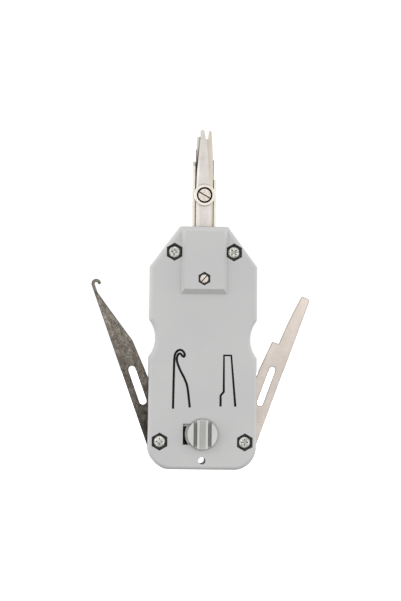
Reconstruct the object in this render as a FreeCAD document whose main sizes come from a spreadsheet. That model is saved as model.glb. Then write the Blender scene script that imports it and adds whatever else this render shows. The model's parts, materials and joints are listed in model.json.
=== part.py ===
import FreeCAD, Part
import math
import os
from FreeCAD import Placement, Rotation, Vector

# Punch down tool for insulation-displacement terminal blocks: a two-shell plastic handle that carries a
# sprung steel insertion head with a scissor cutter, a folding hook, a folding removal blade and a
# sliding release knob. Millimetres. The tool stands on its butt end: +Z runs along the tool to the fork,
# -Y is the front, and the origin is the middle of the butt face, in the parting plane of the shells.

doc = FreeCAD.newDocument("punch_down_tool")
sheet = doc.addObject("Spreadsheet::Sheet", "dims")

drivingSizes = {
    # handle shells
    "butt_half_width": 28.2,
    "shoulder_half_width": 27.7,
    "butt_corner_radius": 11.8,
    "shoulder_height": 105.6,
    "top_half_width": 12.3,
    "body_height": 126.4,
    "shell_depth": 11.5,
    "shell_wall": 2.0,
    "shell_edge_radius": 2.0,
    "parting_chamfer": 0.25,
    "waist_height": 68.0,
    "waist_half_chord": 9.8,
    "waist_depth": 3.4,
    # raised boss over the insertion head, the same on both shells
    "boss_depth": 14.75,
    "boss_half_width": 12.3,
    "boss_face_half_width": 10.1,
    "boss_low": 91.1,
    "boss_face_low": 94.0,
    "boss_face_top": 124.0,
    # four screws that close the shells
    "low_screw_side": 22.2,
    "low_screw_height": 14.4,
    "high_screw_side": 15.5,
    "high_screw_height": 113.2,
    "hex_pocket_flats": 8.2,
    "hex_pocket_floor": 6.4,
    "screw_shank_radius": 1.75,
    "screw_hole_radius": 1.85,
    "screw_head_radius": 3.3,
    "screw_head_thickness": 2.3,
    "nut_flats": 7.9,
    "nut_thickness": 2.8,
    # folding blades and the bushes that they turn on
    "blade_thickness": 1.2,
    "blade_root_radius": 6.6,
    "blade_open_angle": 19.7,
    "bush_radius": 3.0,
    "bush_half_length": 2.5,
    "washer_radius": 3.8,
    "running_clearance": 0.05,
    "slot_half_gap": 1.0,
    # cam pin
    "cam_height": 99.4,
    "cam_sleeve_radius": 2.0,
    "cam_sleeve_half_length": 6.0,
    "cam_pocket_flats": 6.2,
    "cam_pocket_floor": 11.6,
    "cam_screw_radius": 1.25,
    "cam_head_radius": 2.3,
    # insertion head
    "head_pivot_height": 143.0,
    "pivot_shank_radius": 2.0,
    "channel_half_width": 6.05,
    "channel_wall": 1.2,
    "channel_front": 2.9,
    "channel_back": 4.5,
    "channel_bottom": 114.0,
    "channel_top": 160.6,
    "fork_front": 5.0,
    "fork_boss_front": 6.2,
    "fork_boss_radius": 5.7,
    "fork_recess_radius": 4.1,
    "fork_recess_floor": 4.6,
    "head_travel": 7.0,
    "cutter_swing": 0.07,
    # slide block, rod and spring
    "block_bottom": 74.0,
    "block_top": 90.0,
    "block_depth": 5.0,
    "rod_radius": 2.0,
    "rod_bottom": 38.0,
    "seat_height": 44.0,
    "seat_washer_thickness": 0.8,
    "spring_radius": 3.9,
    "spring_wire_radius": 0.55,
    "spring_turns": 9.0,
    # release knob and lanyard hole
    "knob_height": 18.4,
    "knob_radius": 7.95,
    "knob_front": 15.3,
    "knob_back": 11.65,
    "knob_travel": 4.5,
    "plate_front": 9.3,
    "plate_back": 8.3,
    "plate_radius": 9.0,
    "lanyard_height": 4.6,
    "lanyard_radius": 1.85,
}
for row, (alias, value) in enumerate(drivingSizes.items(), start=1):
    sheet.set(f"A{row}", alias)
    sheet.set(f"B{row}", str(value))
    sheet.setAlias(f"B{row}", alias)
doc.recompute()


def size(alias):
    return float(sheet.get(alias))


nodes = []


# ---------------------------------------------------------------- sketch geometry
def point(x, y):
    return Vector(x, y, 0)


def polygon(corners):
    ends = corners[1:] + corners[:1]
    return [Part.LineSegment(point(*a), point(*b)) for a, b in zip(corners, ends)]


def rectangle(left, low, right, high):
    return polygon([(left, low), (right, low), (right, high), (left, high)])


def circle(x, y, radius):
    return [Part.Circle(point(x, y), Vector(0, 0, 1), radius)]


def hexagon(x, y, flats):
    # corners up and down, flats at the sides
    corner = flats / math.sqrt(3)
    turns = [math.radians(30 + 60 * k) for k in range(6)]
    return polygon([(x + corner * math.cos(a), y + corner * math.sin(a)) for a in turns])


def capsule(start, end, radius):
    # a straight slot with round ends, between two centres
    along = (point(*end) - point(*start)).normalize() * radius
    across = Vector(-along.y, along.x, 0)
    a, b = point(*start), point(*end)
    return [
        Part.LineSegment(a + across, b + across),
        Part.Arc(b + across, b + along, b - across),
        Part.LineSegment(b - across, a - across),
        Part.Arc(a - across, a - along, a + across),
    ]


def mirrored(corners):
    return [(-x, y) for x, y in corners]


def as_geometry(wire):
    # straight and round edges of a wire as sketch geometry
    pieces = []
    for edge in wire.Edges:
        start, end = edge.valueAt(edge.FirstParameter), edge.valueAt(edge.LastParameter)
        middle = edge.valueAt((edge.FirstParameter + edge.LastParameter) / 2)
        straight = edge.Curve.TypeId == "Part::GeomLine"
        pieces.append(Part.LineSegment(start, end) if straight else Part.Arc(start, middle, end))
    return pieces


# ---------------------------------------------------------------- features
def new_body(label):
    body = doc.addObject("PartDesign::Body", label)
    body.Label = label
    return body


def new_sketch(body, name, role, geometry, offset="0"):
    # offset is an expression: the distance from the body's own plane along that plane's normal.
    # XZ_Plane looks along +Y, so its normal, and a positive offset, point to the front.
    sketch = body.newObject("Sketcher::SketchObject", name)
    plane = [f for f in body.Origin.OriginFeatures if f.Role == role][0]
    sketch.AttachmentSupport = [(plane, "")]
    sketch.MapMode = "FlatFace"
    sketch.setExpression("AttachmentOffset.Base.z", offset)
    sketch.addGeometry(geometry, False)
    return sketch


def extrude(body, kind, name, role, geometry, start, length, forward=True):
    # start and length are expressions. forward follows the plane's normal.
    sketch = new_sketch(body, name + "_sketch", role, geometry, start)
    doc.recompute()
    before = body.Shape.Volume if body.Tip and body.Tip != sketch and not body.Shape.isNull() else 0
    feature = body.newObject("PartDesign::" + kind, name)
    feature.Profile = sketch
    feature.setExpression("Length", length)
    feature.Reversed = forward == (kind == "Pocket")
    doc.recompute()
    changed = feature.Shape.Volume - before
    if changed * (1 if kind == "Pad" else -1) < 0.001:
        raise RuntimeError(f"{name} changes nothing in {body.Label}: {changed:.4f} mm3")
    return feature


def pad(body, name, geometry, start, length, forward=True, role="XZ_Plane"):
    return extrude(body, "Pad", name, role, geometry, start, length, forward)


def pocket(body, name, geometry, start, length, forward=True, role="XZ_Plane"):
    return extrude(body, "Pocket", name, role, geometry, start, length, forward)


def revolved(body, name, profile):
    # a profile of (radius, y) corners turned about the body's own Y axis
    sketch = new_sketch(body, name + "_sketch", "XY_Plane", polygon(profile))
    turn = body.newObject("PartDesign::Revolution", name)
    turn.Profile = sketch
    turn.ReferenceAxis = (sketch, ["V_Axis"])
    turn.Angle = 360
    doc.recompute()
    return turn


def edge_names(feature, wanted):
    return [f"Edge{n}" for n, edge in enumerate(feature.Shape.Edges, start=1) if wanted(edge)]


def round_edges(body, name, kind, wanted, amount):
    base = body.Tip
    feature = body.newObject("PartDesign::" + kind, name)
    feature.Base = (base, edge_names(base, wanted))
    feature.setExpression("Radius" if kind == "Fillet" else "Size", amount)
    doc.recompute()
    return feature


def finish(item):
    nodes.append(item)
    return item


def grouped(label, members):
    group = doc.addObject("Part::Compound", label)
    group.Label = label
    group.Links = members
    return finish(group)


def at(x, z, turn=0.0):
    # placement in the front view: a point of the XZ plane, and a turn about Y
    return Placement(Vector(x, 0, z), Rotation(Vector(0, 1, 0), turn))


# ---------------------------------------------------------------- handle shells
def side_width(height):
    rise = (height - size("butt_corner_radius")) / (size("shoulder_height") - size("butt_corner_radius"))
    return size("butt_half_width") + rise * (size("shoulder_half_width") - size("butt_half_width"))


def handle_side(sign):
    # one side of the handle's outline, from the butt to the top
    corner = size("butt_corner_radius")
    middle = size("butt_half_width") - corner
    bend = corner * math.sqrt(0.5)
    low = size("waist_height") - size("waist_half_chord")
    high = size("waist_height") + size("waist_half_chord")
    deepest = side_width(size("waist_height")) - size("waist_depth")
    waist = [
        point(sign * side_width(low), low),
        point(sign * deepest, size("waist_height")),
        point(sign * side_width(high), high),
    ]
    butt = [
        point(sign * middle, 0),
        point(sign * (middle + bend), corner - bend),
        point(sign * size("butt_half_width"), corner),
    ]
    shoulder = point(sign * size("shoulder_half_width"), size("shoulder_height"))
    top = point(sign * size("top_half_width"), size("body_height"))
    return [
        Part.Arc(*butt),
        Part.LineSegment(butt[2], waist[0]),
        Part.Arc(*waist),
        Part.LineSegment(waist[2], shoulder),
        Part.LineSegment(shoulder, top),
    ]


def handle_outline():
    middle = size("butt_half_width") - size("butt_corner_radius")
    top = size("top_half_width")
    ends = [
        Part.LineSegment(point(-middle, 0), point(middle, 0)),
        Part.LineSegment(point(-top, size("body_height")), point(top, size("body_height"))),
    ]
    return handle_side(1) + handle_side(-1) + ends


def inner_outline():
    edges = [piece.toShape() for piece in handle_outline()]
    outer = Part.Wire(Part.__sortEdges__(edges))
    return as_geometry(outer.makeOffset2D(-size("shell_wall"), 2))


screwPlaces = [
    (side * size(f"{level}_screw_side"), size(f"{level}_screw_height"))
    for level in ("low", "high")
    for side in (-1, 1)
]


def make_shell(label, front):
    # Both shells are built facing the front, and every start is a depth from the parting plane. The rear
    # shell is then turned half round about Z, so its sides are swapped here.
    body = new_body(label)
    hookSide = -1 if front else 1

    def add(name, geometry, start, length):
        return pad(body, f"{label}_{name}", geometry, start, length)

    def cut(name, geometry, start, length):
        return pocket(body, f"{label}_{name}", geometry, start, length)

    def is_outer_edge(edge):
        # edges of the outer face, all but the one under the boss at the top
        on_face = all(abs(v.Y + size("shell_depth")) < 1e-6 for v in edge.Vertexes)
        return on_face and any(v.Z < size("body_height") - 1e-6 for v in edge.Vertexes)

    def is_parting_edge(edge):
        return all(abs(v.Y) < 1e-6 for v in edge.Vertexes)

    add("block", handle_outline(), "0", "dims.shell_depth")
    round_edges(body, f"{label}_rounding", "Fillet", is_outer_edge, "dims.shell_edge_radius")
    round_edges(body, f"{label}_parting", "Chamfer", is_parting_edge, "dims.parting_chamfer")

    # raised boss with four sloping sides
    wide, narrow = size("boss_half_width"), size("boss_face_half_width")
    foot = rectangle(-wide, size("boss_low"), wide, size("body_height"))
    face_shape = rectangle(-narrow, size("boss_face_low"), narrow, size("boss_face_top"))
    slope = body.newObject("PartDesign::AdditiveLoft", f"{label}_boss")
    slope.Profile = new_sketch(body, f"{label}_boss_low", "XZ_Plane", foot,
                                "dims.shell_depth - 0.3")
    slope.Sections = [
        new_sketch(body, f"{label}_boss_high", "XZ_Plane", face_shape, "dims.boss_depth")
    ]
    slope.Ruled = True
    doc.recompute()

    # hollow inside, up to the wall, and deeper under the boss
    cut("hollow", inner_outline(), "0", "dims.shell_depth - dims.shell_wall")
    cut("boss_hollow", rectangle(-9.2, 97.0, 9.2, 122.5), "dims.shell_depth - dims.shell_wall - 0.5",
        "dims.boss_depth - dims.shell_depth + 0.5")

    # posts for the blade pivots, posts for the upper screws, cam pin post and lanyard tube
    floor = "dims.shell_depth - dims.shell_wall + 0.1"
    lowPlaces, highPlaces = screwPlaces[:2], screwPlaces[2:]
    add("pivot_posts", sum([circle(x, z, 5.8) for x, z in lowPlaces], []), "dims.bush_half_length",
        f"{floor} - dims.bush_half_length")
    add("screw_posts", sum([circle(x, z, 5.0) for x, z in highPlaces], []), "0", floor)
    add("cam_post", circle(0, size("cam_height"), 4.7), "dims.cam_sleeve_half_length",
        "dims.boss_depth - dims.cam_sleeve_half_length - 1.0")
    add("lanyard_tube", circle(0, size("lanyard_height"), 3.6), "0", floor)

    # rib that guides the head below the mouth, rails for the slide block and the wall its spring sits on
    guide = size("channel_half_width") + 0.6
    add("head_guide", rectangle(-11.5, 111.0, 11.5, 116.0), "0", floor)
    seat = rectangle(-guide - 1.2, size("seat_height") - 3.0, guide + 1.2, size("seat_height"))
    add("spring_wall", seat, "0", floor)
    for side, name in ((-1, "left"), (1, "right")):
        inner, outer = sorted((side * guide, side * (guide + 1.2)))
        add(f"{name}_rail", rectangle(inner, size("seat_height") - 1.0, outer, size("block_top") + 2.3),
            "0", floor)
        inner, outer = sorted((side * 5.3, side * (guide + 0.3)))
        lip = rectangle(inner, size("block_top") + 0.3, outer, size("block_top") + 2.3)
        add(f"{name}_stop", lip, "2.5", f"{floor} - 2.5")

    # ribs that tie the rails to the side walls, clear of the blades' mid-plane
    for side, name in ((-1, "left"), (1, "right")):
        for height in (50.0, 84.0):
            inner, outer = sorted((side * (guide + 1.0), side * (side_width(height) - 0.8)))
            add(f"{name}_rib_{height:.0f}", rectangle(inner, height, outer, height + 1.2), "4.0",
                f"{floor} - 4.0")

    # mouth for the head
    reach = "dims.fork_front + 0.3" if front else "dims.channel_back + 0.3"
    cut("mouth", rectangle(-guide, 109.0, guide, size("body_height") + 1.0), "0", reach)

    # hexagonal pockets from the outside, and the holes for the screws
    for number, (x, z) in enumerate(screwPlaces, start=1):
        pocket(body, f"{label}_hex_{number}", hexagon(x, z, size("hex_pocket_flats")),
               "dims.shell_depth + 1", "dims.shell_depth + 1 - dims.hex_pocket_floor", False)
    cut("screw_holes", sum([circle(x, z, size("screw_hole_radius")) for x, z in screwPlaces], []),
        "0", "dims.hex_pocket_floor + 1")
    pocket(body, f"{label}_cam_hex", hexagon(0, size("cam_height"), size("cam_pocket_flats")),
           "dims.boss_depth + 1", "dims.boss_depth + 1 - dims.cam_pocket_floor", False)
    cut("cam_hole", circle(0, size("cam_height"), 1.35), "0", "dims.cam_pocket_floor + 1")
    cut("lanyard_hole", circle(0, size("lanyard_height"), size("lanyard_radius")), "0",
        "dims.shell_depth + 1")
    pocket(body, f"{label}_rod_hole", circle(0, 0, size("rod_radius") + 0.25), "dims.seat_height - 6",
           "9", True, "XY_Plane")

    # gaps in the side walls that the blades swing through, down to the ledge that stops them
    for side, name, top in ((hookSide, "hook", size("shoulder_height") + 0.3), (-hookSide, "removal", 97.0)):
        gap = [(15.0, 7.5), (31.0, 7.5), (31.0, top), (15.0, top)]
        cut(f"{name}_gap", polygon(gap if side > 0 else mirrored(gap)), "0", "dims.slot_half_gap")

    if front:
        low, high = size("knob_height") - 5.5, size("knob_height") + 5.5
        cut("knob_slot", rectangle(-5.65 - size("knob_travel"), low, 6.05, high),
            "dims.shell_depth - dims.shell_wall - 1",
            "dims.shell_wall + 2")
    else:
        body.Placement = Placement(Vector(0, 0, 0), Rotation(Vector(0, 0, 1), 180))
    return finish(body)


make_shell("front_shell", True)
make_shell("rear_shell", False)


# ---------------------------------------------------------------- screws, nuts and bushes
def cross_recess(body, name, radius, start, depth):
    # cross recess: two crossing bars, cut inwards from the head's face. Profiles lie in the XZ plane.
    for turn, arm in ((0, "a"), (90, "b")):
        wide, tall = (radius, 0.45) if turn == 0 else (0.45, radius)
        pocket(body, f"{name}_{arm}", rectangle(-wide, -tall, wide, tall), start, depth, False)


def make_shell_screw(number, x, z):
    body = new_body(f"shell_screw_{number}")
    floor, head = -size("hex_pocket_floor"), size("screw_head_thickness")
    shank, rim, tip = size("screw_shank_radius"), size("screw_head_radius"), 9.9
    profile = [(0, floor - head), (rim * 0.62, floor - head + 0.18), (rim * 0.9, floor - head + 0.75),
               (rim, floor - head + 1.5), (rim, floor), (shank, floor), (shank, tip - 0.6),
               (shank - 0.5, tip), (0, tip)]
    revolved(body, f"shell_screw_{number}_turn", profile)
    cross_recess(body, f"shell_screw_{number}_recess", 1.75, "dims.hex_pocket_floor + 2.4", "1.5")
    turn = (14, -22, 28, -8)[number - 1]
    body.Placement = at(x, z, turn)
    return body


def make_hex_nut(name, flats, hole, start, thickness, place):
    # start is the face towards the front, on the Y axis
    body = new_body(name)
    pad(body, f"{name}_hex", hexagon(0, 0, flats), f"-({start})", thickness, False)
    pocket(body, f"{name}_hole", circle(0, 0, hole), f"-({start}) + 1", f"{thickness} + 2", False)
    body.Placement = place
    return body


grouped("shell_screws", [make_shell_screw(n, *p) for n, p in enumerate(screwPlaces, start=1)])
grouped("shell_nuts", [
    make_hex_nut(f"shell_nut_{n}", size("nut_flats"), size("screw_shank_radius"),
                 "dims.hex_pocket_floor", "dims.nut_thickness", at(*p))
    for n, p in enumerate(screwPlaces, start=1)
])


def make_ring(name, inner, outer, low, high, place):
    body = new_body(name)
    revolved(body, f"{name}_turn", [(inner, low), (outer, low), (outer, high), (inner, high)])
    body.Placement = place
    return body


gap = size("running_clearance")
half = size("bush_half_length")
face = size("blade_thickness") / 2 + gap
grouped("blade_bushes", [
    make_ring(f"blade_bush_{n}", size("screw_shank_radius") + gap, size("bush_radius"), -half, half, at(*p))
    for n, p in enumerate(screwPlaces[:2], start=1)
])
grouped("blade_washers", [
    make_ring(f"blade_washer_{n}{name}", size("bush_radius") + gap, size("washer_radius"), low, high, at(*p))
    for n, p in enumerate(screwPlaces[:2], start=1)
    for name, low, high in (("front", -half + gap, -face), ("rear", face, half - gap))
])


# ---------------------------------------------------------------- cam pin
def make_cam_screw():
    body = new_body("cam_screw")
    floor, shank, tip = -size("cam_pocket_floor"), size("cam_screw_radius"), 13.9
    rim = size("cam_head_radius")
    profile = [(0, floor - 1.7), (rim - 0.2, floor - 1.7), (rim, floor - 1.5), (rim, floor), (shank, floor),
               (shank, tip - 0.4), (shank - 0.3, tip), (0, tip)]
    revolved(body, "cam_screw_turn", profile)
    pocket(body, "cam_screw_slot", rectangle(-3, -0.35, 3, 0.35), "dims.cam_pocket_floor + 2", "1.2", False)
    body.Placement = at(0, size("cam_height"), -50)
    return finish(body)


make_cam_screw()
sleeveEnd = size("cam_sleeve_half_length")
finish(make_ring("cam_sleeve", 1.3, size("cam_sleeve_radius"), -sleeveEnd, sleeveEnd,
                 at(0, size("cam_height"))))
finish(make_hex_nut("cam_nut", 5.0, size("cam_screw_radius"), "dims.cam_pocket_floor", "2.0",
                    at(0, size("cam_height"))))


# ---------------------------------------------------------------- insertion head
def make_head_channel():
    body = new_body("head_channel")
    wide, wall = size("channel_half_width"), size("channel_wall")
    front, back = -size("channel_front"), size("channel_back")
    section = [(-wide, front), (-wide + wall, front), (-wide + wall, back - wall),
               (wide - wall, back - wall), (wide - wall, front), (wide, front), (wide, back), (-wide, back)]
    pad(body, "head_channel_walls", polygon(section), "dims.channel_bottom",
        "dims.channel_top - dims.channel_bottom", True, "XY_Plane")
    strip = rectangle(-5.0, back - wall, 5.0, back)
    pad(body, "head_channel_strip", strip, "dims.block_top - 6", "dims.channel_bottom - dims.block_top + 7",
        True, "XY_Plane")
    # the right wall is lower, and both walls are sloped back at the top
    top = size("channel_top")
    pocket(body, "head_channel_right", rectangle(wide - wall - 0.1, 151.0, wide + 1, top + 1),
           "dims.channel_front + 1", "dims.channel_front + dims.channel_back + 2", False)
    slope = [(front - 1, top + 1), (front - 1, top - 2.4), (front, top - 2.4), (front + 3.2, top),
             (front + 3.2, top + 1)]
    pocket(body, "head_channel_slope", polygon(slope), "-dims.channel_half_width - 1",
           "2 * dims.channel_half_width + 2", True, "YZ_Plane")
    pocket(body, "head_channel_pivot", circle(0, size("head_pivot_height"), size("pivot_shank_radius")),
           "-dims.channel_back - 1", "4", True)
    cam = size("cam_height")
    pocket(body, "head_channel_cam", capsule((0, cam - 0.2), (0, cam + size("head_travel") + 0.2), 2.3),
           "-dims.channel_back - 1", "4", True)
    pocket(body, "head_channel_rivets", circle(-2.8, 87.2, 1.2) + circle(2.8, 87.2, 1.2),
           "-dims.channel_back - 1", "4", True)
    return finish(body)


def make_fork_plate():
    # long front plate that pushes the wire home: wide foot on the channel's edges, round screw boss,
    # tapering blade and an uneven two-pronged tip
    body = new_body("fork_plate")
    outline = [(-6.05, 111.0), (6.05, 111.0), (6.05, 121.5), (4.3, 124.5), (4.3, 146.0), (4.45, 152.0),
               (4.35, 161.2), (3.75, 169.6), (3.35, 176.0), (3.0, 176.6), (2.2, 176.6), (1.9, 176.2),
               (1.6, 172.3), (0.3, 172.1), (-0.35, 176.3), (-0.8, 177.0), (-1.9, 177.0), (-2.4, 176.4),
               (-2.45, 172.7), (-4.05, 155.2), (-4.3, 146.0), (-4.3, 124.5), (-6.05, 121.5)]
    pad(body, "fork_plate_blade", polygon(outline), "dims.channel_front",
        "dims.fork_front - dims.channel_front")
    pivot = size("head_pivot_height")
    pad(body, "fork_plate_boss", circle(0, pivot, size("fork_boss_radius")), "dims.channel_front",
        "dims.fork_boss_front - dims.channel_front")
    pocket(body, "fork_plate_recess", circle(0, pivot, size("fork_recess_radius")),
           "dims.fork_boss_front + 1", "dims.fork_boss_front + 1 - dims.fork_recess_floor", False)
    pocket(body, "fork_plate_hole", circle(0, pivot, size("pivot_shank_radius")), "dims.fork_front",
           "4", False)
    return finish(body)


def make_insertion_blade():
    body = new_body("insertion_blade")
    outline = [(-4.4, 112.0), (4.4, 112.0), (4.75, 125.0), (4.75, 161.0), (3.0, 163.5), (2.4, 171.6),
               (-1.9, 171.6), (-2.3, 173.4), (-3.7, 173.4), (-4.1, 172.6), (-4.4, 160.0)]
    pad(body, "insertion_blade_plate", polygon(outline), "1.8", "1.0")
    pocket(body, "insertion_blade_hole",
           circle(0, size("head_pivot_height"), size("pivot_shank_radius")), "3.8", "3.0", False)
    return finish(body)


def make_head_spacer():
    body = new_body("head_spacer")
    reach = size("channel_half_width") - size("channel_wall") - 0.1
    outline = [(-reach, 116.0), (reach, 116.0), (reach, 148.0), (2.0, 157.0), (-2.0, 157.0), (-reach, 148.0)]
    pad(body, "head_spacer_plate", polygon(outline), "-dims.channel_back + dims.channel_wall", "2.9")
    pocket(body, "head_spacer_hole",
           circle(0, size("head_pivot_height"), size("pivot_shank_radius")), "1.0", "5.0", False)
    return finish(body)


def make_pivot_screw():
    body = new_body("pivot_screw")
    floor, shank, tip = -size("fork_recess_floor"), size("pivot_shank_radius"), 7.2
    profile = [(0, -5.95), (3.2, -5.95), (3.45, -5.7), (3.45, floor), (shank, floor), (shank, tip - 0.4),
               (shank - 0.4, tip), (0, tip)]
    revolved(body, "pivot_screw_turn", profile)
    pocket(body, "pivot_screw_slot", rectangle(-4, -0.4, 4, 0.4), "7.0", "1.9", False)
    body.Placement = at(0, size("head_pivot_height"), 30)
    return finish(body)


make_head_channel()
make_fork_plate()
make_insertion_blade()
make_head_spacer()
make_pivot_screw()
finish(make_hex_nut("pivot_nut", 7.0, size("pivot_shank_radius"), "dims.channel_back", "2.4",
                    at(0, size("head_pivot_height"))))


def make_slide_block():
    body = new_body("slide_block")
    wide, deep = size("channel_half_width"), size("block_depth")
    pad(body, "slide_block_body", rectangle(-wide, -deep, wide, deep), "dims.block_bottom",
        "dims.block_top - dims.block_bottom", True, "XY_Plane")
    strip = rectangle(-5.0, size("channel_back") - size("channel_wall"), 5.0, size("channel_back"))
    pocket(body, "slide_block_strip", strip, "dims.block_top + 1", "7", False, "XY_Plane")
    pocket(body, "slide_block_rod", circle(0, 0, size("rod_radius")), "dims.block_bottom - 1", "6", True,
           "XY_Plane")
    pocket(body, "slide_block_rivets", circle(-2.8, 87.2, 1.2) + circle(2.8, 87.2, 1.2),
           "dims.block_depth + 1", "2 * dims.block_depth + 2", False)
    return finish(body)


def make_rivet(name, x, z):
    body = new_body(name)
    end = size("block_depth")
    profile = [(0, -end - 0.8), (1.5, -end - 0.8), (2.1, -end), (1.2, -end), (1.2, end), (2.1, end),
               (1.5, end + 0.8), (0, end + 0.8)]
    revolved(body, f"{name}_turn", profile)
    body.Placement = at(x, z)
    return body


def make_guide_rod():
    body = new_body("guide_rod")
    pad(body, "guide_rod_bar", circle(0, 0, size("rod_radius")), "dims.rod_bottom",
        "dims.block_bottom + 5 - dims.rod_bottom", True, "XY_Plane")
    return finish(body)


make_slide_block()
grouped("block_rivets", [make_rivet("block_rivet_left", -2.8, 87.2),
                         make_rivet("block_rivet_right", 2.8, 87.2)])
make_guide_rod()


def make_spring_washer():
    body = new_body("spring_washer")
    pad(body, "spring_washer_disc", circle(0, 0, 5.4), "dims.seat_height", "dims.seat_washer_thickness",
        True, "XY_Plane")
    pocket(body, "spring_washer_hole", circle(0, 0, size("rod_radius") + 0.3), "dims.seat_height - 1", "3",
           True, "XY_Plane")
    return finish(body)


make_spring_washer()


def make_main_spring():
    # round wire wound on a helix, ends squared off where it sits on the washer and the block
    wire = size("spring_wire_radius")
    low = size("seat_height") + size("seat_washer_thickness")
    high = size("block_bottom")
    rise = high - low - 2 * wire
    radius = size("spring_radius")
    helix = Part.makeHelix(rise / size("spring_turns"), rise, radius)
    section = Part.Wire(Part.makeCircle(wire, Vector(radius, 0, 0), Vector(0, 1, 0)))
    spring = doc.addObject("Part::Feature", "main_spring")
    spring.Label = "main_spring"
    spring.Shape = Part.Wire(helix).makePipeShell([section], True, True)
    spring.Placement = Placement(Vector(0, 0, low + wire), Rotation())
    return finish(spring)


make_main_spring()


# ---------------------------------------------------------------- scissor cutter
def cam_point(travel):
    # where the fixed cam pin stands in the cutter's own frame when the head is pressed in by travel
    drop = size("head_pivot_height") - size("cam_height") - travel
    swing = size("cutter_swing") * travel / size("head_travel")
    return drop * math.sin(swing), -drop * math.cos(swing)


def make_cutter_blade():
    body = new_body("cutter_blade")
    outline = [(-3.9, -6.0), (-4.5, 2.0), (-4.5, 23.7), (-2.3, 24.2), (-2.0, 28.2), (-0.6, 28.2),
               (-0.6, 19.0), (2.6, 12.0), (3.9, 4.0), (3.9, -4.0), (2.4, -9.0), (2.4, -29.5), (5.9, -33.5),
               (5.9, -39.0), (3.4, -45.5), (1.5, -47.0), (-1.5, -47.0), (-3.4, -45.0), (-3.4, -40.0),
               (-2.4, -36.0), (-2.4, -9.0)]
    pad(body, "cutter_blade_plate", polygon(outline), "0.2", "1.5")
    pocket(body, "cutter_blade_pivot", circle(0, 0, size("pivot_shank_radius") + gap), "2.7", "3.5", False)
    steps = [cam_point(size("head_travel") * n / 3) for n in range(4)]
    for number, (start, end) in enumerate(zip(steps, steps[1:]), start=1):
        pocket(body, f"cutter_blade_cam_{number}",
               capsule(start, end, size("cam_sleeve_radius") + 0.25), "2.7", "3.5", False)
    body.Placement = at(0, size("head_pivot_height"))
    return finish(body)


make_cutter_blade()


# ---------------------------------------------------------------- folding hook and removal blade
def root_arc(inner):
    # round root about the pivot, from the outer edge down to the inner edge
    radius = size("blade_root_radius")
    drop = math.sqrt(radius**2 - inner**2)
    return [Part.Arc(point(radius, 0), point(0, -radius), point(-inner, -drop))], (-inner, -drop)


def chain(corners):
    return [Part.LineSegment(point(*a), point(*b)) for a, b in zip(corners, corners[1:])]


def flipped(geometry):
    # the same profile seen from the other side, for the blade on the left
    for piece in geometry:
        piece.mirror(Vector(0, 0, 0), Vector(0, 1, 0))
    return geometry


def finish_blade(body, name, geometry, slot, side):
    thickness = "dims.blade_thickness"
    pad(body, f"{name}_plate", geometry, f"-{thickness} / 2", thickness)
    start = f"{thickness} / 2 + 1"
    pocket(body, f"{name}_pivot", circle(0, 0, size("bush_radius") + gap), start, f"{thickness} + 2", False)
    pocket(body, f"{name}_slot", slot, start, f"{thickness} + 2", False)
    place = screwPlaces[0] if side < 0 else screwPlaces[1]
    body.Placement = at(*place, side * size("blade_open_angle"))
    return finish(body)


def make_hook_blade():
    body = new_body("hook_blade")
    outer = size("blade_root_radius")
    arc, inner = root_arc(5.5)
    outerRadius, innerRadius, hookZ = 2.5, 0.9, 88.3
    hookX, endRadius = outer - outerRadius, (outerRadius - innerRadius) / 2
    throat, tip = (hookX + innerRadius, hookZ), (hookX - innerRadius, hookZ)
    geometry = arc + chain([inner, (-5.5, 34.4), (-4.1, 54.1), (3.2, 77.8), (throat[0], 84.0), throat])
    geometry += [
        Part.Arc(point(*throat), point(hookX, hookZ + innerRadius), point(*tip)),
        Part.Arc(point(*tip), point(tip[0] - endRadius, hookZ - endRadius), point(hookX - outerRadius, hookZ)),
        Part.Arc(point(hookX - outerRadius, hookZ), point(hookX, hookZ + outerRadius), point(outer, hookZ)),
        Part.LineSegment(point(outer, hookZ), point(outer, 0)),
    ]
    slot = capsule((1.05, 22.5), (1.05, 39.9), 1.9)
    return finish_blade(body, "hook_blade", flipped(geometry), flipped(slot), -1)


def make_removal_blade():
    body = new_body("removal_blade")
    outer = size("blade_root_radius")
    arc, inner = root_arc(5.5)
    edge = [inner, (-5.5, 37.8), (-4.1, 54.2), (-0.5, 54.2), (0.15, 64.8), (0.8, 71.4), (2.1, 81.7),
            (outer - 0.8, 81.7), (outer, 80.9), (outer, 0)]
    slot = capsule((0.95, 22.1), (0.95, 40.6), 1.65)
    return finish_blade(body, "removal_blade", arc + chain(edge), slot, 1)


make_hook_blade()
make_removal_blade()


# ---------------------------------------------------------------- release knob
def make_release_knob():
    body = new_body("release_knob")
    pad(body, "release_knob_disc", circle(0, 0, size("knob_radius")), "dims.knob_back",
        "dims.knob_front - dims.knob_back")
    pad(body, "release_knob_stem", rectangle(-5.55, -5.3, 5.95, 5.3), "dims.plate_front",
        "dims.knob_back - dims.plate_front + 0.1")
    grooves = [(-4.5, -3.0, "2.3"), (3.0, 4.5, "2.3"), (-1.45, 1.45, "1.5")]
    for number, (left, right, depth) in enumerate(grooves, start=1):
        pocket(body, f"release_knob_groove_{number}", rectangle(left, -9, right, 9), "dims.knob_front + 1",
               f"1 + {depth}", False)
    pocket(body, "release_knob_hole", circle(0, 0, 1.5), "dims.plate_front - 1", "4.2", True)
    body.Placement = at(0, size("knob_height"))
    return finish(body)


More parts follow.
